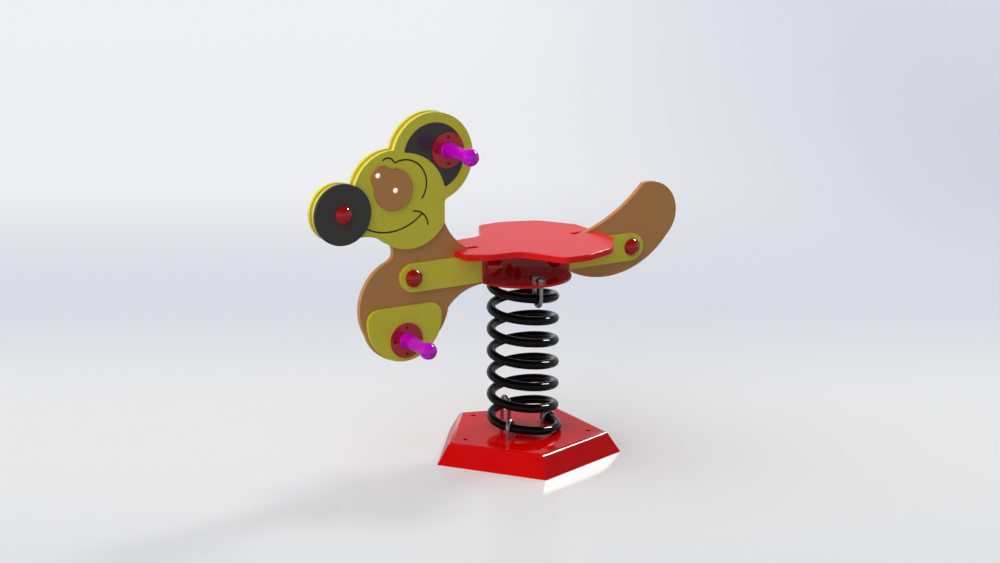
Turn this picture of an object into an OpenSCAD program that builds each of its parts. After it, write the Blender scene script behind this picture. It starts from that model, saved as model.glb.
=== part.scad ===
// Spring rider for a playground: an animal-shaped sandwich of board panels on one steel coil spring.
// Millimetres, +X to the animal's nose, +Y to the rider's left, +Z up.
// The origin is on the ground, under the spring's axis.

/* [Base] */
// Number of corners of the base
base_sides = 5; // [4:1:8]
// Height of the base above the ground
base_h = 53; // [40:1:80]
// Radius through the corners of the base's top face
base_top_r = 210; // [200:1:260]
// Radius through the corners of the base's lower edge
base_foot_r = 246; // [236:1:320]
// Sheet thickness of the base
base_sheet = 3; // [2:0.5:5]
// Radius of the circle of ground anchor holes
anchor_circle_r = 165; // [150:1:175]
// Diameter of a ground anchor hole
anchor_hole_d = 13; // [9:1:16]
// Outer diameter of the spacer tube round each anchor hole under the base
spacer_d = 24; // [20:1:28]

/* [Spring] */
// Mean radius of the coil, to the middle of the wire
coil_r = 79; // [70:1:90]
// Diameter of the spring wire
wire_d = 22; // [14:1:24]
// Rise of the coil in one active turn
coil_pitch = 56; // [50:1:64]
// Direction of the wire's lower end, in degrees from the nose
coil_start = 203; // [190:1:210]
// Angle of the lower end turn that lies flat
flat_low = 69; // [40:1:80]
// Angle of the upper end turn that lies flat
flat_high = 81; // [60:1:90]
// How much wider the lower end turn opens
end_flare = 8; // [0:1:12]
// Height of the top face of the disc on the spring
disc_top_z = 452; // [440:1:470]
// Radius of the disc on the spring
disc_r = 120; // [112:1:130]
// Thickness of the disc on the spring
disc_t = 6; // [4:1:10]

/* [U-bolts] */
// Rod diameter of the U-bolts
rod_d = 10; // [8:1:11]
// Width of their nuts across flats
nut_w = 19; // [17:1:19]
// Height of a nut
nut_h = 9; // [7:1:11]
// Outer diameter of a washer
washer_d = 22; // [20:1:22]
// Thickness of a washer
washer_t = 2; // [1:0.5:3]
// Thread showing past a nut
thread_past_nut = 6; // [3:1:10]
// Directions of the three U-bolts on the base
low_u_angles = [190, 36, 272]; // [0:1:359]
// Directions of the three U-bolts under the disc
high_u_angles = [86, 216, 280]; // [0:1:359]

/* [Panels] */
// Thickness of the middle board
core_t = 14; // [10:0.5:18]
// Thickness of the boards on its two sides
plate_t = 10; // [8:0.5:18]
// How far the middle board stays back from the head plates' edge
core_recess = 2; // [0:0.5:4]
// Height of the side rails
rail_h = 70; // [50:1:72]
// Front bolt of the side rails, ahead of the spring axis
rail_front = 315; // [300:1:330]
// Rear bolt of the side rails, behind the spring axis
rail_rear = 311; // [290:1:320]
// Thickness of the nose disc
nose_disc_t = 9; // [6:1:14]
// Radius of the nose disc
nose_disc_r = 73.5; // [60:0.5:76]
// Depth of the dark inlay in the ear
inlay_t = 4; // [2:0.5:8]
// Height of the eye plate above the head plate
eye_t = 8; // [5:1:12]
// Width of the engraved face lines
groove_w = 4; // [2:0.5:6]
// Depth of the engraved face lines
groove_deep = 1.5; // [0.5:0.5:4]

/* [Head outline] */
// Centre of the ear, forward and up
ear_at = [260, 774]; // [250:1:900]
// Radius of the ear
ear_r = 108.5; // [100:0.5:112]
// Centre of the forehead
brow_at = [368, 696.5]; // [300:0.5:800]
// Radius of the forehead
brow_r = 105; // [95:0.5:110]
// Centre of the nose
nose_at = [504, 664]; // [480:1:700]
// Radius of the nose lobe
nose_r = 71; // [60:0.5:72]
// Centre of the jaw
jaw_at = [323, 667]; // [300:1:700]
// Radius of the jaw
jaw_r = 107.5; // [100:0.5:110]
// Forward position of the upright edge at the back of the head
nape_x = 229; // [226:0.5:236]
// Radius of the hollow under the chin
chin_r = 95; // [85:1:110]

/* [Body outline] */
// Centre of the chest
chest_at = [335, 418.5]; // [300:0.5:450]
// Radius of the chest
chest_r = 121; // [115:0.5:126]
// Centre of the body's round lower end
leg_at = [342.5, 385.5]; // [330:0.5:400]
// Radius of the body's round lower end
leg_r = 101; // [90:0.5:104]
// Centre of the foot plate
foot_at = [339, 384.5]; // [320:0.5:400]
// Radius of the foot plate
foot_r = 100; // [90:0.5:104]
// Height of the foot plate's straight top edge
foot_top = 420; // [415:0.5:430]
// Radius of the foot plate's two upper corners
foot_corner = 30; // [15:1:40]
// Radius of the hollow between chest and jaw
neck_fillet = 25; // [15:1:30]
// Centre of the hollow behind the legs
belly_at = [116, 316]; // [100:1:330]
// Radius of the hollow behind the legs
belly_r = 129.5; // [125:0.5:132]
// Centre of the hollow behind the neck
back_at = [96, 661]; // [80:1:680]
// Radius of the hollow behind the neck
back_r = 137; // [130:0.5:137]

/* [Tail outline] */
// Centre of the tail's hollow upper edge
tail_top_at = [-67.5, 912]; // [-80:0.5:930]
// Radius of the tail's hollow upper edge
tail_top_r = 390; // [386:0.5:394]
// Centre of the tail's round lower edge
tail_low_at = [-241.5, 652.5]; // [-260:0.5:670]
// Radius of the tail's round lower edge
tail_low_r = 235.5; // [230:0.5:240]
// Centre of the tail's round end
tail_tip_at = [-371.5, 566]; // [-390:0.5:580]
// Radius of the tail's round end
tail_tip_r = 81; // [76:0.5:84]

/* [Seat] */
// Thickness of the seat board
seat_t = 16; // [12:0.5:20]
// Front of the seat, ahead of the spring axis
seat_front = 198; // [190:1:210]
// Back of the seat, behind the spring axis
seat_back = 210; // [200:1:220]
// Half width of the seat at its widest
seat_half = 203; // [180:1:205]
// Half width of the seat at its waist, in front of the thighs
seat_waist = 97; // [90:1:110]
// Inner end of the front slot, ahead of the spring axis
slot_front = 128; // [126:1:135]
// Inner end of the rear slot, behind the spring axis
slot_rear = 142; // [130:1:145]

/* [Brackets] */
// Front end of the brackets, ahead of the spring axis
bracket_front = 126; // [110:1:128]
// Rear end of the brackets, behind the spring axis
bracket_rear = 122; // [105:1:128]
// Sheet thickness of the brackets
bracket_t = 4; // [3:0.5:6]
// Width of the folded flange under the seat, with the sheet
flange_fold = 28; // [20:1:40]
// Front bolt through the brackets, ahead of the spring axis
bracket_bolt_front = 94; // [80:1:100]
// Rear bolt through the brackets, behind the spring axis
bracket_bolt_rear = 80; // [60:1:90]
// Diameter of the bolts through the panels
bolt_d = 12; // [8:1:12]
// Outer diameter of a dome cap
cap_d = 44; // [36:1:48]
// Height of a dome cap
cap_h = 17; // [15:1:20]

/* [Grips] */
// Centre of the hand grips
hand_at = [221, 788]; // [210:1:800]
// Centre of the foot pegs
peg_at = [337, 336.5]; // [325:0.5:350]
// Length of a grip from its flange to the end of the knob
grip_len = 125; // [100:1:140]
// Diameter of a grip where it leaves the flange
grip_root_d = 36; // [30:1:42]
// Diameter of a grip at its neck
grip_neck_d = 26; // [22:1:30]
// Diameter of the knob
knob_d = 42; // [36:1:46]
// Diameter of a grip flange
flange_d = 86; // [78:1:92]
// Thickness of a grip flange
flange_t = 4; // [3:0.5:6]
// Radius of the circle of flange screws
flange_screw_r = 32; // [30:1:34]
// Diameter of the rod that joins the two grips of a pair
grip_rod_d = 12; // [8:1:14]

/* [Hidden] */

yellow = [0.84, 0.82, 0.18];
brown = [0.62, 0.44, 0.24];
dark = [0.16, 0.16, 0.16];
red = [0.80, 0.08, 0.08];
steel = [0.62, 0.62, 0.64];
violet = [0.72, 0.10, 0.78];

// Clearances: round holes on their bolts, the wire to pan and disc, a U-bolt round the wire,
// a slot on its board, cuts past a face
hole_gap = 0.5;
wire_gap = 0.3;
clamp_gap = 0.6;
slot_gap = 0.75;
cut = 1;
// Circles that touch reach this far past each other, so that their outlines cross cleanly.
touch = 0.02;
round_fn = 96;
small_fn = 48;

// Heights and places that follow from the sizes above
wire_low_z = base_h + wire_gap + wire_d / 2;
wire_high_z = disc_top_z - disc_t - wire_gap - wire_d / 2;
active_turn = 360 * (wire_high_z - wire_low_z) / coil_pitch;
coil_turn = flat_low + active_turn + flat_high;
rail_z = disc_top_z + rail_h / 2;
seat_z = disc_top_z + rail_h;
inner_y = core_t / 2;
outer_y = inner_y + plate_t;
wall_y = outer_y + bracket_t;
base_tilt = [for (i = [0 : base_sides - 1]) 360 * i / base_sides];

// The head plates show their name from the outside, so the right one mirrors the left one.
module mirrored() { mirror([0, 1, 0]) children(); }

// An outline drawn as [forward, up] becomes a board that starts at y and is t thick.
module board(y, t) { translate([0, y + t, 0]) rotate([90, 0, 0]) linear_extrude(t) children(); }

// A round bore or bolt along Y, from y0 to y1, at [forward, up].
module along_y(at, d, y0, y1, fn = small_fn) {
    translate([at[0], y1, at[1]]) rotate([90, 0, 0]) cylinder(d = d, h = y1 - y0, $fn = fn);
}

module disc2d(at, r) { translate(at) circle(r, $fn = 180); }

// Base

// The pentagonal pan, from a radius at the ground to a radius at its top.
module pan(foot_r, top_r, z0, z1) {
    translate([0, 0, z0]) cylinder(r1 = foot_r, r2 = top_r, h = z1 - z0, $fn = base_sides);
}

module base_cover() {
    side_run = base_sheet * sqrt(pow((base_foot_r - base_top_r) / base_h, 2) + 1);
    slope = (base_foot_r - base_top_r) / base_h;
    color(red) difference() {
        union() {
            difference() {
                pan(base_foot_r, base_top_r, 0, base_h);
                pan(base_foot_r - side_run + slope * cut, base_top_r - side_run + slope * base_sheet,
                    -cut, base_h - base_sheet);
            }
            for (a = base_tilt) rotate(a) translate([anchor_circle_r, 0, 0])
                cylinder(d = spacer_d, h = base_h - base_sheet / 2, $fn = small_fn);
        }
        for (a = base_tilt) rotate(a) translate([anchor_circle_r, 0, -cut])
            cylinder(d = anchor_hole_d, h = base_h + 2 * cut, $fn = small_fn);
        for (i = [0 : len(low_u_angles) - 1]) low_legs(i, rod_d + 2 * hole_gap, 0, base_h + cut);
    }
}

// Spring

// Turn over which the rise starts and stops
ease = 30;
// Turned angles between which the wider end narrows to the coil
flare_from = 60;
flare_to = 180;

// A ramp that starts gently: 0 before -ease, u after ease.
function eased(u) = u <= -ease ? 0 : u >= ease ? u : pow(u + ease, 2) / (4 * ease);
function wire_z(t) = wire_low_z + coil_pitch / 360 * (eased(t - flat_low) - eased(t - flat_low - active_turn));
function flare(t) = let (u = min(1, max(0, (t - flare_from) / (flare_to - flare_from))))
    end_flare * (1 + cos(180 * u)) / 2;
function wire_at(t) = let (a = coil_start - t, r = coil_r + flare(t)) [r * cos(a), r * sin(a), wire_z(t)];
function unit(v) = v / norm(v);
function wire_dir(t) = unit(wire_at(t + 0.5) - wire_at(t - 0.5));

wire_sides = 12;
rings_a_turn = 24;
ring_count = ceil(coil_turn / 360 * rings_a_turn);
ring_t = [for (i = [0 : ring_count]) coil_turn * i / ring_count];

// One ring of points round the wire at the turned angle t.
function ring(t) = let (d = wire_dir(t), out = unit([wire_at(t)[0], wire_at(t)[1], 0]), up = cross(d, out))
    [for (k = [0 : wire_sides - 1]) wire_at(t)
        + wire_d / 2 * (cos(360 * k / wire_sides) * out + sin(360 * k / wire_sides) * up)];

// Least distance between stretches of the wire more than half a turn apart, less the wire itself.
spring_gap = min([for (a = ring_t) for (b = ring_t) if (b - a > 180) norm(wire_at(a) - wire_at(b))]) - wire_d;
echo(spring_gap = spring_gap, coil_turn = coil_turn);

module spring() {
    points = [for (t = ring_t) each ring(t)];
    last = ring_count * wire_sides;
    faces = [
        [for (k = [0 : wire_sides - 1]) k],
        for (i = [0 : ring_count - 1]) for (k = [0 : wire_sides - 1])
            let (n = (k + 1) % wire_sides, a = i * wire_sides, b = a + wire_sides)
                each [[a + k, b + k, b + n], [a + k, b + n, a + n]],
        [for (k = [wire_sides - 1 : -1 : 0]) last + k]
    ];
    color(dark) polyhedron(points, faces);
}

// U-bolts

u_leg = wire_d / 2 + rod_d / 2 + clamp_gap;
// The turned angle at which the wire last passes direction a, at its lower and its upper end.
function low_turn(a) = (coil_start - a + 720) % 360;
function high_turn(a) = low_turn(a) + 360 * floor((coil_turn - low_turn(a)) / 360);
function low_r(i) = coil_r + flare(low_turn(low_u_angles[i]));
// How much higher a bow must sit so that its rod clears the rising wire on its own width
function lift(t) = rod_d / 2 * wire_dir(t)[2] / sqrt(1 - pow(wire_dir(t)[2], 2));
function low_z(i) = let (t = low_turn(low_u_angles[i])) wire_z(t) + lift(t);
function high_z(a) = let (t = high_turn(a)) wire_z(t) - lift(t);

// Two upright legs astride the wire at direction a.
module legs(a, r, d, z0, z1) {
    rotate(a) for (s = [-1, 1]) translate([r + s * u_leg, 0, z0]) cylinder(d = d, h = z1 - z0, $fn = small_fn);
}

module low_legs(i, d, z0, z1) { legs(low_u_angles[i], low_r(i), d, z0, z1); }

// The half ring of a U-bolt over the wire (side 1) or under it (side -1).
module bow(a, r, z, side) {
    rotate(a) translate([r, 0, z]) rotate([90 * side, 0, 0])
        rotate_extrude(angle = 180, $fn = round_fn) translate([u_leg, 0]) circle(d = rod_d, $fn = small_fn);
}

low_nut_z = base_h - base_sheet - washer_t - nut_h;
high_nut_z = disc_top_z + washer_t;

module lower_u_bolts() {
    color(steel) for (i = [0 : len(low_u_angles) - 1]) union() {
        bow(low_u_angles[i], low_r(i), low_z(i), 1);
        low_legs(i, rod_d, low_nut_z - thread_past_nut, low_z(i));
    }
}

module upper_u_bolts() {
    color(steel) for (a = high_u_angles) union() {
        bow(a, coil_r, high_z(a), -1);
        legs(a, coil_r, rod_d, high_z(a), high_nut_z + nut_h + thread_past_nut);
    }
}

// Chamfer of a nut: its flat face's radius, and the height it takes, as shares of the width
nut_face = 0.48;
nut_chamfer = 0.06;

// Two washers and chamfered hexagon nuts on the legs at direction a.
module nut_set(a, r, nut_z, washer_z) {
    face = nut_w * nut_face;
    chamfer = nut_w * nut_chamfer;
    rotate(a) for (s = [-1, 1]) translate([r + s * u_leg, 0, 0]) difference() {
        union() {
            translate([0, 0, washer_z]) cylinder(d = washer_d, h = washer_t, $fn = small_fn);
            intersection() {
                translate([0, 0, nut_z]) cylinder(d = nut_w / cos(30), h = nut_h, $fn = 6);
                translate([0, 0, nut_z]) rotate_extrude($fn = small_fn) polygon([[0, 0], [face, 0],
                    [nut_w - face + chamfer, chamfer], [nut_w - face + chamfer, nut_h - chamfer],
                    [face, nut_h], [0, nut_h]]);
            }
        }
        translate([0, 0, min(nut_z, washer_z) - cut])
            cylinder(d = rod_d, h = nut_h + washer_t + 2 * cut, $fn = small_fn);
    }
}

module lower_nuts() {
    color(steel) for (i = [0 : len(low_u_angles) - 1])
        nut_set(low_u_angles[i], low_r(i), low_nut_z, low_nut_z + nut_h);
}

module upper_nuts() {
    color(steel) for (a = high_u_angles) nut_set(a, coil_r, high_nut_z, disc_top_z);
}

// Disc and brackets

module spring_disc() {
    color(red) difference() {
        translate([0, 0, disc_top_z - disc_t]) cylinder(r = disc_r, h = disc_t, $fn = round_fn * 2);
        for (a = high_u_angles) legs(a, coil_r, rod_d + 2 * hole_gap, disc_top_z - disc_t - cut, disc_top_z + cut);
    }
}

bracket_bolts_at = [[bracket_bolt_front, rail_z], [-bracket_bolt_rear, rail_z]];
rail_bolts_at = [[rail_front, rail_z], [-rail_rear, rail_z]];
seat_screw_x = [-90, -30, 30, 90];
seat_screw_y = wall_y + (flange_fold - bracket_t) / 2;
seat_screw_d = 8;

// A steel side wall that stands on the disc, its top edge folded out under the seat.
module bracket_left() {
    color(red) difference() {
        translate([-bracket_rear, outer_y, disc_top_z]) cube([bracket_front + bracket_rear, flange_fold, rail_h]);
        translate([-bracket_rear - cut, wall_y, disc_top_z - cut])
            cube([bracket_front + bracket_rear + 2 * cut, flange_fold, rail_h + cut - bracket_t]);
        for (at = bracket_bolts_at) along_y(at, bolt_d + 2 * hole_gap, outer_y - cut, wall_y + cut);
        for (x = seat_screw_x) translate([x, seat_screw_y, disc_top_z])
            cylinder(d = seat_screw_d + 2 * hole_gap, h = rail_h + cut, $fn = small_fn);
    }
}

module bracket_right() { mirrored() bracket_left(); }

// Bolts and caps

bolt_head_h = 7;
bolt_head_d = 24;
// A bolt along Y from the right face to the left one, with a round low head at each end, the
// second being its sleeve nut.
module cross_bolt(at, right_y, left_y) {
    color(steel) union() {
        along_y(at, bolt_d, -right_y, left_y);
        along_y(at, bolt_head_d, -right_y - bolt_head_h, -right_y);
        along_y(at, bolt_head_d, left_y, left_y + bolt_head_h);
    }
}

module bracket_bolts() { for (at = bracket_bolts_at) cross_bolt(at, wall_y, wall_y); }
module rail_bolts() { for (at = rail_bolts_at) cross_bolt(at, outer_y, outer_y); }
module nose_bolt() { cross_bolt(nose_at, outer_y, outer_y + nose_disc_t); }

cap_wall = 3;
cap_rim = 4;
// A domed plastic cap over a bolt head, with a short upright rim.
module cap(at, y) {
    color(red) translate([at[0], y, at[1]]) rotate([-90, 0, 0]) difference() {
        dome(cap_d / 2, cap_h);
        translate([0, 0, -cut]) dome(cap_d / 2 - cap_wall, cap_h - cap_wall + cut);
    }
}

// A spherical dome of radius r at its foot and height h, on a rim.
module dome(r, h) {
    rise = h - cap_rim;
    ball = (r * r + rise * rise) / (2 * rise);
    cylinder(r = r, h = cap_rim, $fn = small_fn);
    intersection() {
        translate([0, 0, h - ball]) sphere(ball, $fn = round_fn);
        translate([0, 0, cap_rim / 2]) cylinder(r = r, h = h, $fn = small_fn);
    }
}

// The caps of one side; the nose bolt's head lies on the nose disc, or on the board where there is none.
module caps(nose_y) {
    for (at = bracket_bolts_at) cap(at, wall_y);
    for (at = rail_bolts_at) cap(at, outer_y);
    cap(nose_at, nose_y);
}

module caps_left() { caps(outer_y + nose_disc_t); }
module caps_right() { mirrored() caps(outer_y); }

// Outlines of the boards

// The point at distances a from p and b from q, on the left going from p to q, or on the right for side -1.
function meet(p, a, q, b, side = 1) = let (
    span = norm(q - p),
    along = (span * span + a * a - b * b) / (2 * span),
    u = (q - p) / span
) p + along * u + side * sqrt(a * a - along * along) * [-u[1], u[0]];

// The patch that joins two circles with a hollow fillet, on the left going from p to q.
module web(p, pr, q, qr, r) {
    f = meet(p, pr + r, q, qr + r);
    difference() {
        polygon([p, q, f]);
        disc2d(f, r + touch);
    }
}

ear_fillet = 15;
// The head's outline, drawn in by inset all round.
module head2d(inset = 0) {
    nape = nape_x + inset;
    nape_hollow = [nape - ear_fillet, ear_at[1]
        - sqrt(pow(ear_r - inset + ear_fillet, 2) - pow(ear_at[0] - nape + ear_fillet, 2))];
    difference() {
        union() {
            disc2d(jaw_at, jaw_r - inset);
            polygon([jaw_at, ear_at, nape_hollow, [nape_hollow[0], jaw_at[1] - jaw_r / 2]]);
        }
        translate([nape - jaw_r, nape_hollow[1] - 2 * jaw_r]) square([jaw_r, 2 * jaw_r]);
        disc2d(nape_hollow, ear_fillet + touch);
    }
    disc2d(ear_at, ear_r - inset);
    disc2d(brow_at, brow_r - inset);
    disc2d(nose_at, nose_r - inset);
    web(nose_at, nose_r - inset, jaw_at, jaw_r - inset, chin_r + inset);
}

// The foot plate: a disc with a straight top edge and two rounded corners.
module foot2d() {
    corner_z = foot_top - foot_corner - foot_at[1];
    corner_x = sqrt(pow(foot_r - foot_corner, 2) - corner_z * corner_z);
    reach = foot_r / (foot_r - foot_corner) * 2;
    translate(foot_at) {
        difference() {
            circle(foot_r, $fn = 180);
            polygon([[0, 0], reach * [corner_x, corner_z], foot_r * [2, 3], foot_r * [-2, 3],
                reach * [-corner_x, corner_z]]);
        }
        for (s = [-1, 1]) translate([s * corner_x, corner_z]) circle(foot_corner + touch, $fn = 90);
        polygon([[0, -foot_corner], [corner_x, corner_z - cut], [corner_x, corner_z + foot_corner],
            [-corner_x, corner_z + foot_corner], [-corner_x, corner_z - cut]]);
    }
}

// The tail sweeps up behind the seat: hollow above, round below, with a round end.
module tail2d() {
    toward = unit(tail_tip_at - tail_low_at);
    side = [-toward[1], toward[0]];
    difference() {
        union() {
            disc2d(tail_tip_at, tail_tip_r);
            difference() {
                disc2d(tail_low_at, tail_low_r);
                polygon([tail_low_at, tail_low_at + 2 * tail_low_r * toward,
                    tail_low_at + 2 * tail_low_r * (toward - side), tail_low_at - 2 * tail_low_r * side]);
                translate([-disc_r, 0]) square(seat_z * 2);
            }
        }
        disc2d(tail_top_at, tail_top_r);
        translate([-slot_rear - slot_gap, seat_z]) square(tail_low_r);
    }
}

// Where the body's straight rear edge meets the foot plate, as a share of its radius
belly_foot = [-0.965, -0.255];
// Where that edge ends, just inside the hollow behind the legs
belly_inside = 0.98 * belly_r;
belly_turn = 31;

// Body between chest and spring: solid corners less the two hollows.
module body2d() {
    difference() {
        polygon([leg_at, chest_at, jaw_at, [nape_x + ear_fillet, jaw_at[1]], back_at + back_r / 2 * [1, -1],
            [slot_front + slot_gap, seat_z + seat_t], [slot_front + slot_gap, seat_z],
            [-slot_rear, seat_z], [-slot_rear, disc_top_z + cut],
            [disc_r / 2, disc_top_z - cut], [disc_r / 2, belly_at[1]],
            belly_at + belly_inside * [cos(belly_turn), sin(belly_turn)], leg_at + leg_r * belly_foot]);
        disc2d(belly_at, belly_r);
        difference() {
            disc2d(back_at, back_r);
            translate([back_at[0] - back_r, 0]) square([slot_front + slot_gap - back_at[0] + back_r, seat_z]);
        }
    }
    disc2d(chest_at, chest_r);
    disc2d(leg_at, leg_r);
    web(jaw_at, jaw_r - core_recess, chest_at, chest_r, neck_fillet);
}

module core2d() {
    head2d(core_recess);
    difference() {
        union() {
            body2d();
            tail2d();
        }
        translate([-disc_r - cut, 0]) square([2 * disc_r + 2 * cut, disc_top_z]);
    }
}

// Every bolt and rod that crosses the boards.
module cross_holes(y0, y1) {
    for (at = concat(bracket_bolts_at, rail_bolts_at, [nose_at]))
        along_y(at, bolt_d + 2 * hole_gap, y0, y1);
    for (at = [hand_at, peg_at]) along_y(at, grip_rod_d + 2 * hole_gap, y0, y1);
}

module core_panel() {
    color(brown) difference() {
        board(-inner_y, core_t) core2d();
        cross_holes(-inner_y - cut, inner_y + cut);
    }
}

// Engraved face lines: each is an arc [centre, radius, start, end] in degrees.
brow_arc = [[339, 716], 60.5, 66, 219];
brow_wave = [[382, 767], 18, 43, 163];
smile_arc = [[380.5, 737], 130, 227, 297];
cheek_arc = [[313.5, 612.5], 38, 87, 180];

inlay_r = 82;
inlay_hollow_at = [343.5, 676.5];
inlay_hollow_r = 116.5;
inlay_at = [258, 776];

inlay_tip_r = 5;

// The dark crescent in the ear, its two tips rounded where a small circle touches both edges.
module inlay2d() {
    tips = [for (side = [-1, 1])
        meet(inlay_at, inlay_r - inlay_tip_r, inlay_hollow_at, inlay_hollow_r + inlay_tip_r, side)];
    difference() {
        disc2d(inlay_at, inlay_r);
        disc2d(inlay_hollow_at, inlay_hollow_r);
        for (i = [0, 1]) {
            sharp = meet(inlay_at, inlay_r, inlay_hollow_at, inlay_hollow_r, 2 * i - 1);
            polygon([tips[i], inlay_at + 1.1 * inlay_r * unit(tips[i] - inlay_at), 3 * sharp - 2 * tips[i],
                inlay_hollow_at + 0.95 * inlay_hollow_r * unit(tips[i] - inlay_hollow_at)]);
        }
    }
    for (tip = tips) disc2d(tip, inlay_tip_r + touch);
}

// A line of width groove_w along an arc.
module arc2d(arc) {
    difference() {
        disc2d(arc[0], arc[1] + groove_w / 2);
        disc2d(arc[0], arc[1] - groove_w / 2);
        translate(arc[0]) polygon([[0, 0], for (k = [0 : 4]) let (a = arc[3] + (360 - arc[3] + arc[2]) * k / 4)
            3 * arc[1] * [cos(a), sin(a)]]);
    }
}

module face_lines() {
    arc2d(brow_arc);
    arc2d(brow_wave);
    arc2d(smile_arc);
    arc2d(cheek_arc);
}

module head_plate_left() {
    color(yellow) difference() {
        board(inner_y, plate_t) head2d();
        board(outer_y - inlay_t, inlay_t + cut) inlay2d();
        board(outer_y - groove_deep, groove_deep + cut) face_lines();
        cross_holes(inner_y - cut, outer_y + cut);
    }
}

module head_plate_right() { mirrored() head_plate_left(); }

module ear_inlay_left() {
    color(dark) difference() {
        board(outer_y - inlay_t, inlay_t) inlay2d();
        cross_holes(inner_y, outer_y + cut);
    }
}

module ear_inlay_right() { mirrored() ear_inlay_left(); }

// The photograph shows no disc beyond the nose's far rim, so only the left side has one.
module nose_disc() {
    color(dark) difference() {
        along_y(nose_at, 2 * nose_disc_r, outer_y, outer_y + nose_disc_t, 2 * round_fn);
        cross_holes(outer_y - cut, outer_y + nose_disc_t + cut);
    }
}

eye_small_at = [399, 740];
eye_small_r = 28.5;
eye_big_at = [368.5, 708.5];
eye_big_r = 50.5;
eye_fillet = 14;

// The eye: two round lobes run together with hollow fillets.
module eye2d(inset) {
    disc2d(eye_small_at, eye_small_r - inset);
    disc2d(eye_big_at, eye_big_r - inset);
    web(eye_small_at, eye_small_r - inset, eye_big_at, eye_big_r - inset, eye_fillet + inset);
    web(eye_big_at, eye_big_r - inset, eye_small_at, eye_small_r - inset, eye_fillet + inset);
}

// The plate's edge is rounded in steps that lie on a quarter circle, each sunk a little in the one below.
eye_round = 5;
eye_steps = 6;
step_lap = 0.01;
module eye_plate_left() {
    color(brown) union() {
        board(outer_y, eye_t - eye_round) eye2d(0);
        for (k = [0 : eye_steps - 1]) let (a = 90 * k / eye_steps, b = 90 * (k + 1) / eye_steps)
            board(outer_y + eye_t - eye_round + eye_round * sin(a) - step_lap,
                eye_round * (sin(b) - sin(a)) + step_lap) eye2d(eye_round * (1 - cos((a + b) / 2)));
    }
}

module eye_plate_right() { mirrored() eye_plate_left(); }

module foot_plate_left() {
    color(yellow) difference() {
        board(inner_y, plate_t) foot2d();
        cross_holes(inner_y - cut, outer_y + cut);
    }
}

module foot_plate_right() { mirrored() foot_plate_left(); }

module side_rail_left() {
    color(yellow) difference() {
        board(inner_y, plate_t) union() {
            translate([-rail_rear, disc_top_z]) square([rail_rear + rail_front, rail_h]);
            for (at = rail_bolts_at) disc2d(at, rail_h / 2);
        }
        cross_holes(inner_y - cut, outer_y + cut);
    }
}

module side_rail_right() { mirrored() side_rail_left(); }

// Seat

// The arc of radius p[2] that rounds the corner p between its neighbours a and b.
function rounded(a, p, b) = let (
    corner_at = [p[0], p[1]],
    u = unit([a[0], a[1]] - corner_at),
    v = unit([b[0], b[1]] - corner_at),
    half = acos(u * v) / 2,
    middle = corner_at + p[2] / sin(half) * unit(u + v),
    from = corner_at + p[2] / tan(half) * u - middle,
    turn = sign(u[0] * v[1] - u[1] * v[0]) * -(180 - 2 * half),
    steps = ceil(abs(turn) / 3)
) p[2] == 0 ? [corner_at] : [for (k = [0 : steps]) let (t = turn * k / steps)
    middle + [from[0] * cos(t) - from[1] * sin(t), from[0] * sin(t) + from[1] * cos(t)]];

// Corners of half the seat, [forward, across, rounding]: front end, tongue, waist, wing, rear lobe, rear end.
seat_corners = [[seat_front, 0, 0], [seat_front, seat_waist - 39, 10], [seat_front - 52, seat_waist - 9, 30],
    [64, seat_waist, 45], [8, seat_half + 1, 30], [-62, seat_half + 4, 60],
    [-150, seat_half - 28, 60], [-seat_back, 85, 30], [-seat_back, 0, 0]];

// Half of the seat's outline as [forward, across]; the other half mirrors it.
module seat_half2d() {
    last = len(seat_corners) - 1;
    difference() {
        polygon([for (i = [0 : last]) each rounded(seat_corners[max(i - 1, 0)], seat_corners[i],
            seat_corners[min(i + 1, last)])]);
        translate([-slot_rear - seat_back, 0]) square([seat_back, inner_y + slot_gap]);
        translate([slot_front, 0]) square([seat_front, inner_y + slot_gap]);
    }
}

module seat() {
    color(red) translate([0, 0, seat_z]) linear_extrude(seat_t) {
        seat_half2d();
        mirror([0, 1]) seat_half2d();
    }
}

seat_screw_head = 5;
module seat_screws() {
    color(steel) for (x = seat_screw_x) for (s = [-1, 1]) translate([x, s * seat_screw_y, seat_z - bracket_t]) {
        cylinder(d = seat_screw_d, h = bracket_t, $fn = small_fn);
        translate([0, 0, -seat_screw_head]) cylinder(d = 2 * seat_screw_d, h = seat_screw_head, $fn = small_fn);
    }
}

// Grips

screw_d = 6;
screw_angles = [0, 90, 180, 270];
screw_sunk = 1;

// The flange that the grip stands on, with four screw holes.
module grip_flange(at) {
    color(red) translate([at[0], outer_y, at[1]]) rotate([-90, 0, 0]) difference() {
        cylinder(d = flange_d, h = flange_t, $fn = round_fn);
        translate([0, 0, -cut]) cylinder(d = grip_rod_d + 2 * hole_gap, h = flange_t + 2 * cut, $fn = small_fn);
        for (a = screw_angles) rotate(a) translate([flange_screw_r, 0, -cut])
            cylinder(d = screw_d + 2 * hole_gap, h = flange_t + 2 * cut, $fn = small_fn);
    }
}

module hand_flange_left() { grip_flange(hand_at); }
module hand_flange_right() { mirrored() hand_flange_left(); }
module foot_flange_left() { grip_flange(peg_at); }
module foot_flange_right() { mirrored() foot_flange_left(); }

// The foot of a grip: how far it spreads, how high the spread is, and where the taper starts
foot_spread = 3;
foot_h = 5;
taper_from = 20;
taper_in = 1;
// Shares of the knob's radius: how far back it reaches, and where the neck enters it
knob_back = 0.8;
neck_in = 1.45;
// Share of a grip's length that its rod fills
rod_depth = 0.6;

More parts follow.
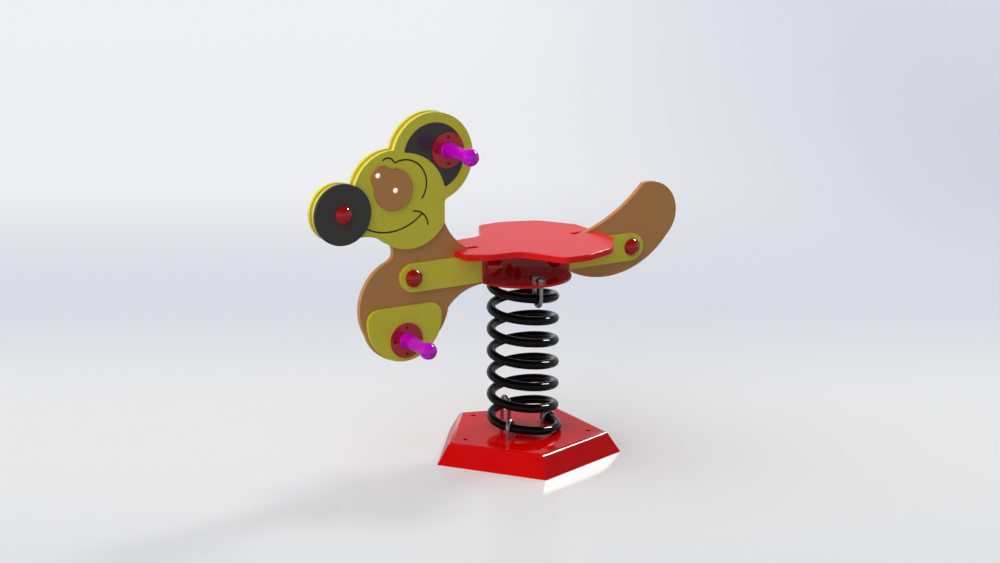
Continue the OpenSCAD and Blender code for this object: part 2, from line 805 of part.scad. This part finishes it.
// A grip tapers from its flange to a neck and ends in a domed knob.
module grip(at) {
    dome_r = knob_d / 2;
    root = grip_root_d / 2;
    neck = grip_len - neck_in * dome_r;
    color(violet) translate([at[0], outer_y + flange_t, at[1]]) rotate([-90, 0, 0]) difference() {
        rotate_extrude($fn = round_fn) {
            polygon([[0, 0], [root + foot_spread, 0], [root, foot_h], [root - taper_in, taper_from],
                [grip_neck_d / 2, neck], [0, neck]]);
            translate([0, grip_len - dome_r]) intersection() {
                circle(dome_r, $fn = small_fn);
                translate([0, -knob_back * dome_r]) square(2 * dome_r);
            }
        }
        translate([0, 0, -cut]) cylinder(d = grip_rod_d, h = grip_len * rod_depth + cut, $fn = small_fn);
    }
}

module hand_grip_left() { grip(hand_at); }
module hand_grip_right() { mirrored() hand_grip_left(); }
module foot_peg_left() { grip(peg_at); }
module foot_peg_right() { mirrored() foot_peg_left(); }

// The threaded rod that joins a pair of grips through all the boards.
module grip_rod(at) {
    half = outer_y + flange_t + grip_len * rod_depth;
    color(steel) along_y(at, grip_rod_d, -half, half);
}

module hand_rod() { grip_rod(hand_at); }
module foot_rod() { grip_rod(peg_at); }

module flange_screws_left() {
    color(steel) for (at = [hand_at, peg_at]) translate([at[0], outer_y, at[1]]) rotate([-90, 0, 0])
        for (a = screw_angles) rotate(a) translate([flange_screw_r, 0, 0])
            cylinder(d = screw_d, h = flange_t - screw_sunk, $fn = small_fn);
}

module flange_screws_right() { mirrored() flange_screws_left(); }

base_cover();
spring();
lower_u_bolts();
lower_nuts();
upper_u_bolts();
upper_nuts();
spring_disc();
bracket_left();
bracket_right();
bracket_bolts();
rail_bolts();
nose_bolt();
caps_left();
caps_right();
seat();
seat_screws();
core_panel();
head_plate_left();
head_plate_right();
nose_disc();
ear_inlay_left();
ear_inlay_right();
eye_plate_left();
eye_plate_right();
foot_plate_left();
foot_plate_right();
side_rail_left();
side_rail_right();
hand_flange_left();
hand_flange_right();
foot_flange_left();
foot_flange_right();
hand_grip_left();
hand_grip_right();
foot_peg_left();
foot_peg_right();
hand_rod();
foot_rod();
flange_screws_left();
flange_screws_right();
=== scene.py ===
"""A playground spring rider: an animal cut from coloured boards, on one steel coil spring.
Metres, +X to the animal's nose, +Y to the rider's left, +Z up, the ground at zero."""
import math

import bmesh
import bpy
from mathutils import Matrix, Vector


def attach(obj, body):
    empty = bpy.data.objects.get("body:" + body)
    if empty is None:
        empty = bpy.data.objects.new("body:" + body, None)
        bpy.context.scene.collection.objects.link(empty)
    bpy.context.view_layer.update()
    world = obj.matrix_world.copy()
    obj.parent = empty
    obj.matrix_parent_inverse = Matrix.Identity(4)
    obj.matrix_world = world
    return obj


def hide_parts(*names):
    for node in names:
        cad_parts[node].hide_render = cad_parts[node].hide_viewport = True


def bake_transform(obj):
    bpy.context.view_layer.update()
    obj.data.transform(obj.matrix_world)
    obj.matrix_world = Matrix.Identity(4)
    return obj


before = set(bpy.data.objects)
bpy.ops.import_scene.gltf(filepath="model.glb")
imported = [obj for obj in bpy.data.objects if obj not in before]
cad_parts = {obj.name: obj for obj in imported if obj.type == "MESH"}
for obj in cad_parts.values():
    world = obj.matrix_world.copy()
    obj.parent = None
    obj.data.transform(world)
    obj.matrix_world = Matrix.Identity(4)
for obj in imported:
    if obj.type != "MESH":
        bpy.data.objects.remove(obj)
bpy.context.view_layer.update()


# Camera
# The photographer stood in front of the animal's left shoulder, a little above the seat, with a
# long lens. The place and the lens were solved from the edges of the base, discs and spring.
eye = bpy.data.objects.new("camera", bpy.data.cameras.new("camera"))
bpy.context.scene.collection.objects.link(eye)
bpy.context.scene.camera = eye
eye.location = (2.7417, 4.4843, 1.7787)
looking_down, turned = 0.251, 0.538
eye.rotation_euler = (math.pi / 2 - looking_down, 0, math.pi - turned)
eye.data.lens = 79.2
eye.data.sensor_width = 36
eye.data.shift_x, eye.data.shift_y = 0.0, 0.0011
bpy.context.scene.view_settings.view_transform = "Standard"


# Floor, backdrop and light
# A pale studio floor that runs back out of sight, brightest round the object, with a grey-blue
# band behind it. One very wide lamp stands on the side of the animal's nose and adds no shine, a
# smaller one behind the tail throws the faint shadow, and a softbox there shows only as glints.
class Value:
    """A shader socket that joins in Python arithmetic: each operation adds a Math node."""

    def __init__(self, finish, socket):
        self.finish, self.socket = finish, socket

    def math(self, operation, *others):
        return self.finish.node("Math", {"operation": operation}, dict(enumerate((self, *others))))

    def __add__(self, other):
        return self.math("ADD", other)

    def __mul__(self, other):
        return self.math("MULTIPLY", other)

    def __sub__(self, other):
        return self.math("SUBTRACT", other)

    def __rsub__(self, other):
        return self.finish.node("Math", {"operation": "SUBTRACT"}, {0: other, 1: self})

    __radd__, __rmul__ = __add__, __mul__

    def between(self, low, high):
        """0 at low, 1 at high, and a smooth step from one to the other."""
        return self.finish.node("MapRange", {"interpolation_type": "SMOOTHSTEP"},
                                {"Value": self, "From Min": low, "From Max": high})


class Finish:
    """A material, or the world, whose nodes are made by name."""

    def __init__(self, name, owner=None, **constants):
        self.owner = owner or bpy.data.materials.new(name)
        self.owner.use_nodes = True
        self.tree = self.owner.node_tree
        self.shader = self.tree.nodes.get("Principled BSDF") or self.tree.nodes["Background"]
        for socket, value in constants.items():
            self.shader.inputs[socket.replace("_", " ")].default_value = value

    def join(self, node, socket, value):
        """Links a value to a node's socket, or sets a number or colour on it."""
        place = node.inputs[socket]
        if isinstance(value, Value):
            self.tree.links.new(value.socket, place)
        elif place.type == "RGBA":
            place.default_value = (*value[:3], 1)
        else:
            place.default_value = value

    def node(self, kind, settings=None, inputs=None, out=0):
        """Any node: its type, its settings, the values or links of its sockets, its output."""
        made = self.tree.nodes.new("ShaderNode" + kind)
        for key, value in (settings or {}).items():
            setattr(made, key, value)
        for socket, value in (inputs or {}).items():
            self.join(made, socket, value)
        return Value(self, made.outputs[out])

    def set(self, **links):
        for socket, value in links.items():
            self.join(self.shader, socket.replace("_", " "), value)

    def place(self, stretch=(1, 1, 1)):
        """A point on the piece in metres, squeezed or stretched along the axes."""
        point = self.node("TexCoord", out="Object")
        return self.node("Mapping", None, {"Vector": point, "Scale": stretch})

    def axes(self, vector):
        """The three parts of a vector, as values."""
        parts = self.node("SeparateXYZ", None, {0: vector}).socket.node
        return [Value(self, socket) for socket in parts.outputs]

    def noise(self, scale, detail=2, stretch=(1, 1, 1)):
        return self.node("TexNoise", None,
                         {"Vector": self.place(stretch), "Scale": scale, "Detail": detail})

    def mix(self, mask, a, b):
        """Colour a where the mask is 0, b where it is 1."""
        return self.node("Mix", {"data_type": "RGBA"}, {0: mask, 6: a, 7: b}, out=2)

    def bump(self, height, millimetres, strength=1.0):
        return self.node("Bump", None, {"Height": height, "Distance": millimetres / 1000,
                                        "Strength": strength})


def placed(name, mesh):
    """A new object at the origin that holds the finished bmesh, smooth with crisp edges."""
    for face in mesh.faces:
        face.smooth = True
    crisp = math.radians(32)
    for edge in mesh.edges:
        edge.smooth = len(edge.link_faces) == 2 and edge.calc_face_angle() < crisp
    data = bpy.data.meshes.new(name)
    mesh.to_mesh(data)
    mesh.free()
    made = bpy.data.objects.new(name, data)
    bpy.context.scene.collection.objects.link(made)
    return made


def srgb(*parts):
    """A colour from its 0 to 255 screen values."""
    return tuple(((p / 255 + 0.055) / 1.055) ** 2.4 if p > 10 else p / 255 / 12.92 for p in parts)


floor_mesh = bmesh.new()
bmesh.ops.create_grid(floor_mesh, x_segments=8, y_segments=8, size=200)
floor = placed("floor", floor_mesh)
pale = Finish("pale floor", Roughness=0.12, IOR=1.2, Emission_Strength=1.0)
floor_x, floor_y, floor_z = pale.axes(pale.place())
away_x, away_y = -0.51, -0.86
behind = floor_x * away_x + floor_y * away_y
sideways = floor_x * away_y + floor_y * -away_x
near = pale.mix((behind * -1).between(0.0, 1.6), srgb(243, 243, 243), srgb(226, 228, 230))
band = pale.mix(behind.between(0.35, 1.5), near, srgb(221, 224, 234))
beyond = pale.mix(sideways.between(-0.6, 2.4), srgb(250, 250, 250), srgb(203, 207, 222))
backdrop = pale.mix(behind.between(1.5, 3.4), band, beyond)
seen = pale.node("LightPath", out="Is Camera Ray")
pale.set(Base_Color=pale.mix(seen, srgb(184, 183, 181), backdrop),
         Emission_Color=pale.mix(seen, (0, 0, 0), srgb(80, 80, 82)))
floor.data.materials.append(pale.owner)

for name, toward, energy, width, shines in (("wide key", (0.66, -0.06, 0.75), 2.3, 100, False),
                                            ("tail lamp", (-0.70, -0.18, 0.69), 0.7, 12, True)):
    lamp = bpy.data.objects.new(name, bpy.data.lights.new(name, "SUN"))
    bpy.context.scene.collection.objects.link(lamp)
    lamp.rotation_euler = Vector(toward).to_track_quat("Z", "Y").to_euler()
    lamp.data.energy = energy
    lamp.data.angle = math.radians(width)
    lamp.visible_glossy = shines

softbox = bpy.data.objects.new("tail softbox", bpy.data.lights.new("tail softbox", "AREA"))
bpy.context.scene.collection.objects.link(softbox)
softbox.location = (-3.6, -0.3, 3.5)
seat_middle = Vector((0, 0, 0.6))
softbox.rotation_euler = (softbox.location - seat_middle).to_track_quat("Z", "Y").to_euler()
softbox.data.size = 1.3
softbox.data.energy = 420
softbox.visible_diffuse = softbox.visible_camera = False

world = bpy.data.worlds.new("studio")
bpy.context.scene.world = world
studio = Finish("studio", world)
mirrored = sum(studio.node("LightPath", out=ray)
               for ray in ("Is Camera Ray", "Is Glossy Ray", "Is Transmission Ray"))
seen = mirrored.math("MINIMUM", 1)
height = studio.axes(studio.node("TexCoord", out="Generated"))[2]
sky = studio.mix(height.between(0.05, 0.75), srgb(226, 229, 236), srgb(70, 71, 76))
room_light = 0.14
studio.set(Color=studio.mix(seen, srgb(255, 255, 255), sky),
           Strength=seen * (1 - room_light) + room_light)


# Base pan
# A five-sided pan pressed and welded from 3 mm steel sheet, powder-coated glossy red, with a hole
# for an anchor bolt near each corner. The coat is slightly rippled and scuffed.
weld_gap = 1e-6
sliver = 0.00025


def rounded(node, radius, segments=3, least_depth=0.0, bend=None):
    """A copy of a CAD node with merged faces, whose sharp rims are rounded off with material 1.
    The edges that bend(edge) picks out get three times the radius, and with a least depth, the
    rims of anything shallower from side to side stay sharp."""
    mesh = bmesh.new()
    mesh.from_mesh(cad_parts[node].data)
    bmesh.ops.remove_doubles(mesh, verts=mesh.verts, dist=weld_gap)
    bmesh.ops.dissolve_limit(mesh, angle_limit=math.radians(0.5), verts=mesh.verts,
                             edges=mesh.edges)
    bmesh.ops.dissolve_degenerate(mesh, dist=sliver, edges=mesh.edges)
    if bend:
        bmesh.ops.bevel(mesh, geom=[e for e in mesh.edges if bend(e)], offset=3 * radius,
                        affect="EDGES", segments=6, profile=0.5, material=1, clamp_overlap=True)
    rims = []
    for edge in mesh.edges:
        if len(edge.link_faces) == 2 and edge.calc_face_angle() > math.radians(40):
            depth = min(max(v.co.y for v in f.verts) - min(v.co.y for v in f.verts)
                        for f in edge.link_faces if abs(f.normal.y) < 0.5) if least_depth else 1
            if depth >= least_depth:
                rims.append(edge)
    bmesh.ops.bevel(mesh, geom=rims, offset=radius, affect="EDGES", segments=segments,
                    profile=0.5, material=1, clamp_overlap=True)
    return mesh


def reach(node):
    """How far out to the side a CAD node reaches."""
    return max(abs(v.co.y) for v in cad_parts[node].data.vertices)


def weighted(piece):
    """Flat faces stay flat to the eye next to a rounded rim."""
    piece.modifiers.new("weighted", "WEIGHTED_NORMAL").keep_sharp = True
    return piece


def coat(name, colour, shade, gloss=1.2, shine=0.0):
    """Powder coat: a gloss skin with fine ripples and small dull scuffs."""
    skin = Finish(name, IOR=gloss, Coat_Weight=shine, Coat_Roughness=0.03)
    ripple = skin.noise(420, 2)
    scuff = skin.noise(38, 5, (1, 1, 2.2)).between(0.64, 0.74)
    drift = skin.noise(7, 3).between(0.35, 0.7)
    skin.set(Base_Color=skin.mix(drift * 0.35 + scuff * 0.12, colour, shade),
             Roughness=0.08 + scuff * 0.08 + ripple * 0.03, Normal=skin.bump(ripple, 0.02, 0.3))
    return skin.owner


red_paint = coat("red powder coat", srgb(236, 6, 5), srgb(222, 3, 4))
red_rim = coat("red powder coat, rims", srgb(236, 6, 5), srgb(222, 3, 4), shine=1.0)
top_z, rim_radius = 0.0528, 0.2


def top_rim(edge):
    """Whether an edge of the pan lies along the outer rim of its top."""
    return (min(v.co.z for v in edge.verts) > top_z
            and min(v.co.xy.length for v in edge.verts) > rim_radius)


base = weighted(placed("base_pan", rounded("base_cover", 0.0025, bend=top_rim)))
base.data.materials.append(red_paint)
base.data.materials.append(red_rim)
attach(base, "base")
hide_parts("base_cover")


# Coil spring
# One bar of 22 mm spring steel wound cold into seven turns, its end turns closed flat and the lower
# one opened a little, then coated glossy black. It is made in two halves.
wire_radius = 0.011
coil_radius = 0.079
coil_pitch = 0.056
low_z, high_z = 0.0643, 0.4347
hinge_z = 0.25
first_angle = 203
flat_low, flat_high = 69, 81
lead_in = 30
open_by, open_from, open_over = 0.008, 60, 120
active = 360 * (high_z - low_z) / coil_pitch
whole = flat_low + active + flat_high


def eased(turn):
    """A ramp that starts gently over the lead-in before and after zero."""
    if turn <= -lead_in:
        return 0
    return turn if turn >= lead_in else (turn + lead_in) ** 2 / (4 * lead_in)


def wire_point(turn):
    """Where the middle of the wire is after turning so many degrees from the lower end."""
    opening = min(1, max(0, (turn - open_from) / open_over))
    radius = coil_radius + open_by * (1 + math.cos(math.pi * opening)) / 2
    angle = math.radians(first_angle - turn)
    z = low_z + coil_pitch / 360 * (eased(turn - flat_low) - eased(turn - flat_low - active))
    return Vector((radius * math.cos(angle), radius * math.sin(angle), z))


def wire_frame(turn):
    """The wire's middle with its own directions: outwards, up and along."""
    middle = wire_point(turn)
    along = (wire_point(turn + 0.5) - wire_point(turn - 0.5)).normalized()
    out = Vector((middle.x, middle.y, 0)).normalized()
    up = along.cross(out).normalized()
    directions = Matrix((up.cross(along), up, along)).transposed()
    return Matrix.Translation(middle) @ directions.to_4x4()


def tube(mesh, frames, radius, sides=24):
    """A ring of the bar, extruded and carried from frame to frame, with a face on each end."""
    ring = bmesh.ops.create_circle(mesh, cap_ends=True, segments=sides, radius=radius,
                                   matrix=frames[0])["verts"]
    edges = list({e for v in ring for e in v.link_edges})
    for before, after in zip(frames, frames[1:]):
        made = bmesh.ops.extrude_edge_only(mesh, edges=edges)["geom"]
        ring = [g for g in made if isinstance(g, bmesh.types.BMVert)]
        edges = [g for g in made
                 if isinstance(g, bmesh.types.BMEdge) and all(v in ring for v in g.verts)]
        bmesh.ops.transform(mesh, matrix=after @ before.inverted(), verts=ring)
    bmesh.ops.contextual_create(mesh, geom=edges)
    bmesh.ops.recalc_face_normals(mesh, faces=mesh.faces)


halfway = flat_low + 360 * (hinge_z - low_z) / coil_pitch
black_paint = coat("black powder coat", srgb(6, 6, 7), srgb(12, 12, 13), gloss=1.25)
for name, start, end, lower, upper in (("spring_lower_half", 0, halfway, 0.070, 0.239),
                                       ("spring_upper_half", halfway, whole, 0.261, 0.430)):
    half = bmesh.new()
    steps = round((end - start) / 5)
    turns = [start + (end - start) * k / steps for k in range(steps + 1)]
    tube(half, [wire_frame(turn) for turn in turns], wire_radius)
    spring = placed(name, half)
    spring.data.materials.append(black_paint)
    bodies = ("base", "coil") if start == 0 else ("coil", "rider")
    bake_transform(spring)
    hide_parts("spring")


# U-bolts, nuts and bolts
# Bent 10 mm rods with threaded ends clamp the spring's end turns to the pan and to the disc, and
# 12 mm bolts cross the boards. All are zinc-plated, dull in streaks, with threads near the ends.
thread_pitch = 0.0015
thread_run_out = 0.001


def zinc(name, threads=None):
    """Zinc plate: a cool mottled sheen, drawn lines, and thread rings between the two heights."""
    plate = Finish(name, Metallic=1.0)
    mottle = plate.noise(90, 4).between(0.35, 0.7)
    relief = plate.noise(900, 1, (1, 1, 0.05)) * 0.15
    if threads:
        low, high = threads
        z = plate.axes(plate.place())[2]
        rings = (z * (2 * math.pi / thread_pitch)).math("SINE")
        threaded = z.between(low, low + thread_run_out) * (
            1 - z.between(high, high + thread_run_out))
        relief = relief + rings * threaded
    plate.set(Base_Color=plate.mix(mottle, srgb(176, 178, 182), srgb(128, 131, 137)),
              Roughness=0.2 + mottle * 0.18, Normal=plate.bump(relief, 0.35))
    return plate.owner


def dress(material, slot, *nodes):
    """CAD nodes whose shape is right get their finish."""
    for node in nodes:
        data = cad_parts[node].data
        data.materials.clear()
        data.materials.append(material)


dress(zinc("zinc, low threads", (0.0, 0.049)), "steel", "lower_u_bolts")
dress(zinc("zinc, high threads", (0.440, 0.50)), "steel", "upper_u_bolts")
dress(zinc("zinc"), "steel", "lower_nuts", "upper_nuts", "bracket_bolts", "rail_bolts",
      "nose_bolt", "seat_screws", "hand_rod", "foot_rod")


# Disc and brackets
# A round steel plate lies on the spring, and two folded sheet walls stand on it and carry the seat.
# They are welded to the plate along their feet and powder-coated with it, red.
# The pan's red coat, painted darker as the shade that falls under the seat; the welds take it too,
# and the rims keep the pan's red.
red_painted_shade = coat("red powder coat, painted shade", srgb(186, 14, 16), srgb(166, 10, 12), gloss=1.5)
for node in ("spring_disc", "bracket_left", "bracket_right"):
    part = weighted(placed(node + "_coated", rounded(node, 0.0012)))
    part.data.materials.append(red_painted_shade)
    part.data.materials.append(red_rim)
    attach(part, "rider")
    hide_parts(node)

bead_radius = 0.0028
bead_step = 0.0018
fold_width = 0.024
plate_top_z = 0.452
foot_y = reach("bracket_left") - fold_width
beads = bmesh.new()
for side in (-1, 1):
    for start in (-0.112, -0.018, 0.076):
        walk = []
        for k in range(20):
            swell = 0.82 + 0.18 * math.cos(k * 2.1)
            walk.append(Matrix.Translation((start + bead_step * k, side * foot_y, plate_top_z))
                        @ Matrix.Rotation(math.pi / 2, 4, "Y") @ Matrix.Scale(swell, 4))
        tube(beads, walk, bead_radius, 10)
welds = placed("weld_beads", beads)
welds.data.materials.append(red_painted_shade)
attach(welds, "rider")


# Boards
# The animal is a sandwich of coloured plastic boards: a brown one of 14 mm from head to tail, and
# yellow ones of 10 mm on both sides. The edges are routed and eased, with fine cutter lines.
cutter_wave = 5200
eased_radius = 0.0011


def board(name, colour, shade, gloss=1.42, shine=0.0, rim=None):
    """Gloss-faced board: faint clouding, fine scratches on the faces, cutter lines on the edges.
    A rim colour is for the edges round the animal's head; on the yellow boards it is a lighter
    yellow, a painted highlight."""
    sheet = Finish(name, IOR=gloss, Coat_Weight=shine, Coat_Roughness=0.04)
    flank = sheet.axes(sheet.node("TexCoord", out="Normal"))[1]
    edge = 1 - flank.math("ABSOLUTE").between(0.35, 0.8)
    x, y, z = sheet.axes(sheet.place())
    cutter = (y * cutter_wave).math("SINE")
    cloud = sheet.noise(5, 3).between(0.3, 0.75)
    pores = sheet.noise(700, 2)
    scratch = sheet.noise(14, 6, (1, 1, 9)).between(0.66, 0.72) * (1 - edge)
    surface = sheet.mix(cloud * 0.3, colour, shade)
    if rim:
        at_head = x.between(0.19, 0.20) * z.between(0.575, 0.59)
        surface = sheet.mix(edge * at_head, surface, rim)
    sheet.set(Base_Color=surface,
              Roughness=0.02 + scratch * 0.14 + edge * 0.16 + pores * 0.02,
              Normal=sheet.bump(pores * 0.08 + edge * cutter * 0.5 - scratch * 0.3, 0.04, 0.3))
    return sheet.owner


brown, eye_brown, yellow, dark, red = (
    [board(name + suffix, colour, shade, gloss=gloss, shine=shine, rim=rim)
     for suffix, shine in (("", 0.0), (", rims", rim_shine))]
    for name, colour, shade, gloss, rim_shine, rim in (
        ("brown board", srgb(212, 152, 88), srgb(202, 140, 76), 1.42, 0.9, srgb(222, 178, 40)),
        ("brown eye board", srgb(212, 152, 88), srgb(202, 140, 76), 1.42, 0.9, None),
        # The yellow rim colour, lighter than the board, is a painted highlight along the head's
        # edges.
        ("yellow board", srgb(234, 230, 54), srgb(224, 218, 48), 1.5, 0.9, srgb(255, 250, 74)),
        ("dark grey board", srgb(66, 66, 65), srgb(57, 57, 57), 1.42, 0.1, None),
        ("red board", srgb(255, 30, 32), srgb(248, 24, 26), 1.22, 0.1, None)))

for node, finishes, slot in (("core_panel", brown, "brown_board"),
                             ("foot_plate_left", yellow, "yellow_board"),
                             ("foot_plate_right", yellow, "yellow_board"),
                             ("side_rail_left", yellow, "yellow_board"),
                             ("side_rail_right", yellow, "yellow_board"),
                             ("nose_disc", dark, "dark_board")):
    part = weighted(placed(node + "_board", rounded(node, eased_radius)))
    for finish in finishes:
        part.data.materials.append(finish)
    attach(part, "rider")
    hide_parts(node)


# Head boards
# Yellow boards with the brow, the smile and the cheek engraved 1.5 mm deep and filled with black
# paint, and a pocket in the ear for the dark inlay.
ink = Finish("black groove paint", Roughness=0.5)
ink.set(Base_Color=ink.mix(ink.noise(160, 3), srgb(30, 28, 20), srgb(48, 44, 26)),
        Normal=ink.bump(ink.noise(500, 2), 0.1))
groove_depth = 0.0015
slack = 0.0001
outer_y = reach("head_plate_left")
for side in ("left", "right"):
    mesh = rounded("head_plate_" + side, eased_radius, least_depth=0.009)
    for face in mesh.faces:
        depth = outer_y - abs(face.calc_center_median().y)
        deepest = outer_y - min(abs(v.co.y) for v in face.verts)
        in_groove = 2 * slack < depth < groove_depth + 2 * slack and deepest < groove_depth + slack
        if in_groove and (abs(face.normal.y) > 0.9 or deepest > groove_depth - slack / 10):
            face.material_index = len(yellow)
    head = weighted(placed("head_board_" + side, mesh))
    for finish in (*yellow, ink.owner):
        head.data.materials.append(finish)
    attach(head, "rider")
    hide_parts("head_plate_" + side)
dress(dark[0], "dark_board", "ear_inlay_left", "ear_inlay_right")


# Eye plates
# A thick brown plate with a soft routed edge is fixed over each side of the head, and carries two
# small white plugs that look like glints.
# The plugs glow a little with a warm white, a painted highlight, though they are no lamp.
white = Finish("white plug", Roughness=0.1, Coat_Weight=0.8, Emission_Strength=0.6)
white.set(Base_Color=white.mix(white.noise(120, 3), srgb(255, 254, 250), srgb(248, 244, 236)),
          Emission_Color=srgb(255, 240, 220))
plug_radius = 0.0062
flatness = 0.32
for side, turn in (("left", 1), ("right", -1)):
    dress(eye_brown[0], "brown_board", "eye_plate_" + side)
    plate_y = turn * reach("eye_plate_left")
    plugs = bmesh.new()
    for x, z in ((0.412, 0.7475), (0.366, 0.7075)):
        bmesh.ops.create_uvsphere(plugs, u_segments=24, v_segments=12, radius=plug_radius,
                                  matrix=Matrix.Translation((x, plate_y, z))
                                  @ Matrix.Diagonal((1, flatness, 1, 1)))
    glints = placed("eye_plugs_" + side, plugs)
    glints.data.materials.append(white.owner)
    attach(glints, "rider")


# Seat
# One red board, 16 mm thick, with a waist in front for the thighs and slots for the brown board.
# Its rims are rounded more than the others, and the top is lightly scuffed where children sit.
seat = weighted(placed("seat_board", rounded("seat", 2 * eased_radius, segments=4)))
for finish in red:
    seat.data.materials.append(finish)
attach(seat, "rider")
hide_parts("seat")


# Dome caps and flanges
# Moulded glossy red plastic. A cap snaps over each bolt head, and a round flange with four
# blackened screws holds each grip.
def moulded(name, colour, shade, gloss):
    """Injection-moulded plastic: glossy, a little clouded, with a faint orange-peel skin."""
    plastic = Finish(name, IOR=gloss, Coat_Weight=0.3, Coat_Roughness=0.02)
    skin = plastic.noise(240, 2)
    plastic.set(Base_Color=plastic.mix(plastic.noise(30, 3), colour, shade),
                Roughness=0.07 + skin * 0.06, Normal=plastic.bump(skin, 0.04, 0.5))
    return plastic.owner


dress(moulded("moulded red plastic", srgb(196, 6, 8), srgb(174, 4, 6), 1.38),
      "red_plastic", "caps_left", "caps_right")
dress(moulded("moulded red plastic, flanges", srgb(206, 26, 34), srgb(186, 20, 28), 1.5),
      "red_plastic", "hand_flange_left", "hand_flange_right",
      "foot_flange_left", "foot_flange_right")
dark_steel = Finish("blackened screws", Metallic=1.0)
dark_steel.set(Base_Color=dark_steel.mix(dark_steel.noise(300, 2), srgb(40, 38, 40),
                                         srgb(70, 66, 68)),
               Roughness=0.35 + dark_steel.noise(500, 1) * 0.2)
dress(dark_steel.owner, "steel", "flange_screws_left", "flange_screws_right")


# Grips
# Hand grips and foot pegs are one moulding: a violet translucent plastic taper with a round knob,
# screwed on the end of the rod that crosses the boards.
violet = Finish("violet translucent plastic", IOR=1.4, Transmission_Weight=0.3)
swirl = violet.noise(55, 3)
violet.set(Base_Color=violet.mix(swirl.between(0.35, 0.7), srgb(255, 0, 255), srgb(238, 0, 244)),
           Roughness=0.06 + swirl * 0.05, Normal=violet.bump(violet.noise(300, 1), 0.03, 0.4))
grip_length = 0.125
neck_radius, knob_radius = 0.013, 0.021
knob_z = grip_length - knob_radius
neck_angle = math.asin(neck_radius / knob_radius)
grip_outline = [(0.0, 0.0), (0.0205, 0.0), (0.0208, 0.0012), (0.0198, 0.0040), (0.0182, 0.006),
                (0.0173, 0.020), (0.0158, 0.055), (0.0136, 0.089), (neck_radius, 0.0945)]
for k in range(19):
    angle = neck_angle + (math.pi - neck_angle) * k / 18
    grip_outline.append((knob_radius * math.sin(angle), knob_z - knob_radius * math.cos(angle)))
flange_y = reach("hand_flange_left")
for name, x, z in (("hand_grip", 0.221, 0.788), ("foot_peg", 0.337, 0.3365)):
    for side, turn in (("left", 1), ("right", -1)):
        mesh = bmesh.new()
        line = [mesh.verts.new((r, 0, h)) for r, h in grip_outline]
        path = [mesh.edges.new(pair) for pair in zip(line, line[1:])]
        bmesh.ops.spin(mesh, geom=line + path, cent=(0, 0, 0), axis=(0, 0, 1),
                       angle=2 * math.pi, steps=48, use_merge=True)
        bmesh.ops.remove_doubles(mesh, verts=mesh.verts, dist=1e-5)
        outward = Matrix.Rotation(-turn * math.pi / 2, 4, "X")
        bmesh.ops.transform(mesh, verts=mesh.verts,
                            matrix=Matrix.Translation((x, turn * flange_y, z)) @ outward)
        bmesh.ops.recalc_face_normals(mesh, faces=mesh.faces)
        grip = placed(f"{name}_{side}_moulded", mesh)
        grip.data.materials.append(violet.owner)
        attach(grip, "rider")
        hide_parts(f"{name}_{side}")
